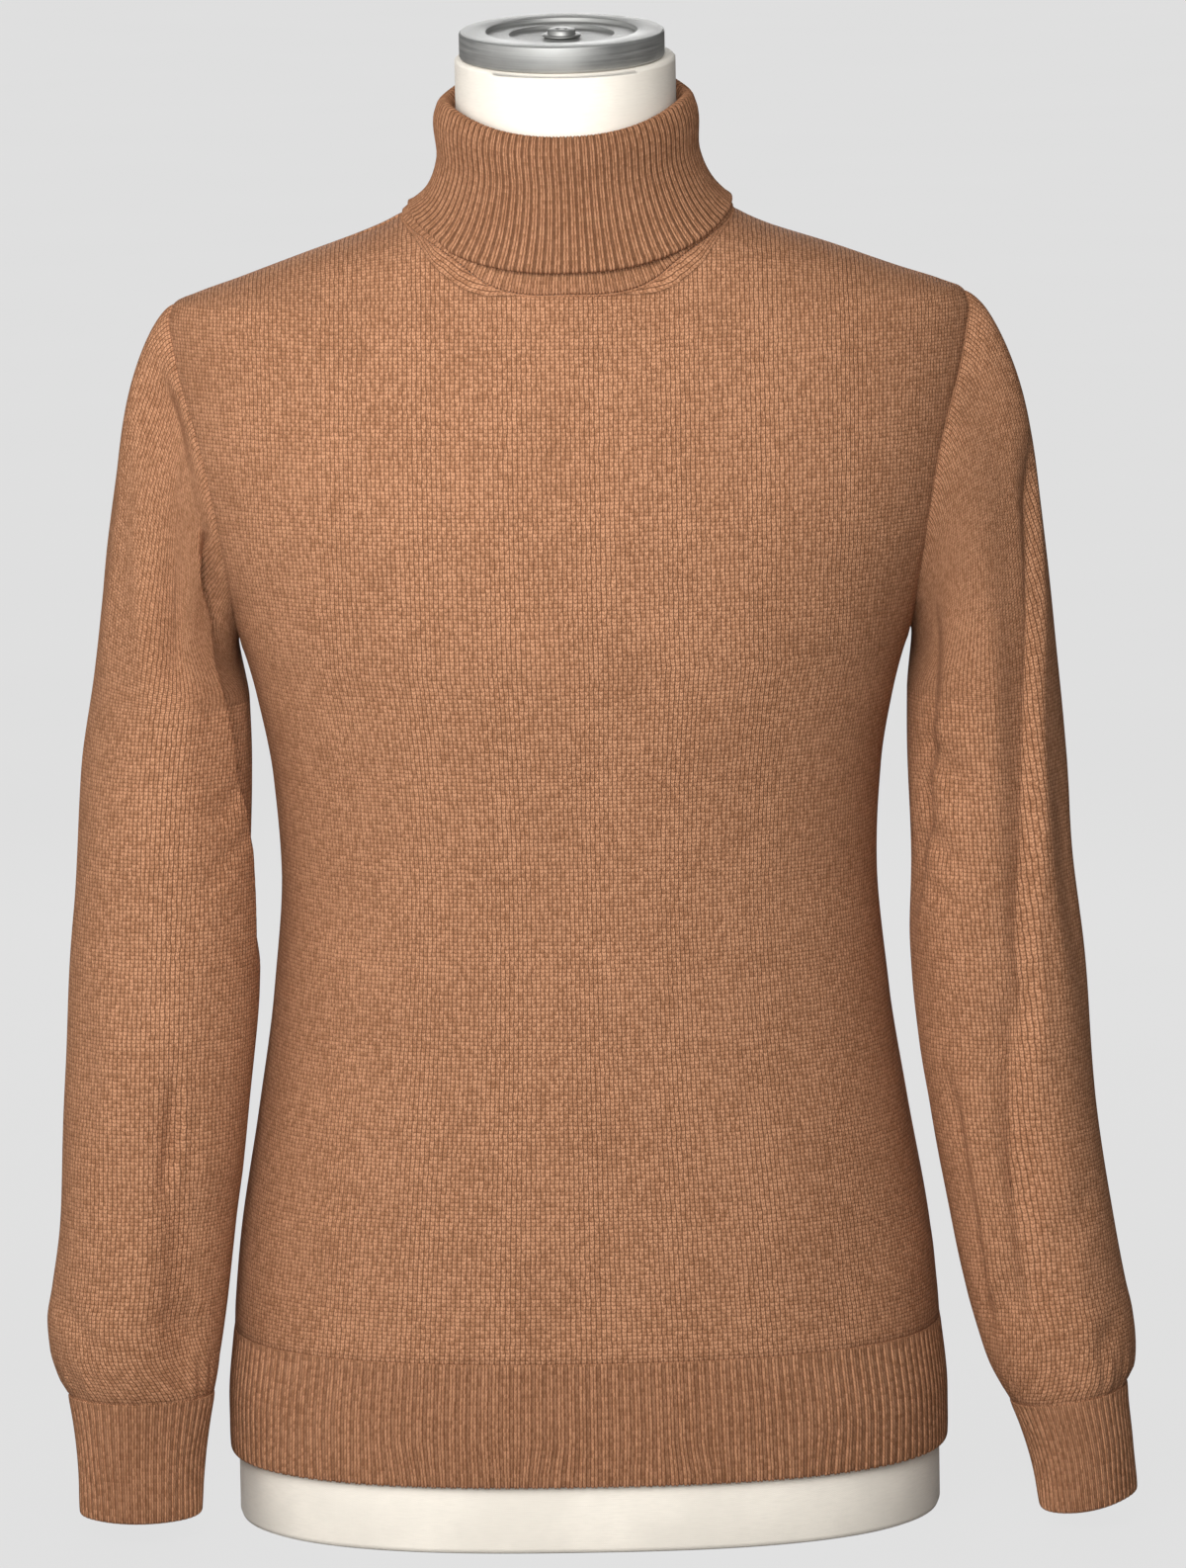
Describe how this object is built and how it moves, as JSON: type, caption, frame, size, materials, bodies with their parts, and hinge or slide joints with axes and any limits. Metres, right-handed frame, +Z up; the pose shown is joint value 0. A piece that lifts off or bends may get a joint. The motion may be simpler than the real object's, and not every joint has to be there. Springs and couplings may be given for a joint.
{
  "type": "turtleneck sweater on dress form",
  "caption": "Long-sleeved knit sweater with a ribbed turned-down collar, welt and cuffs, worn by a limbless dress form that stands on its flat underside.",
  "frame": {"origin": "middle of the form's flat underside, which stands on the ground", "axes": "+Z up, the chest faces -Y, +X towards the wearer's left"},
  "size_m": [0.5651, 0.2515, 0.7804],
  "materials": {
    "jersey": "camel brown heathered wool jersey, soft and slightly fuzzy",
    "rib": "the same wool yarn in two-by-one rib",
    "canvas": "fine cream canvas stretched over a hard torso shape",
    "steel": "brushed metal neck plate"
  },
  "bodies": {
    "root": {"front_panel": "jersey", "back_panel": "jersey", "welt_front": "rib", "welt_back": "rib", "sleeve_left": "jersey", "sleeve_right": "jersey", "cuff_left": "rib", "cuff_right": "rib", "collar": "rib", "form_body": "canvas", "neck_cap": "steel", "cap_bolt": "steel"}
  },
  "joints": []
}
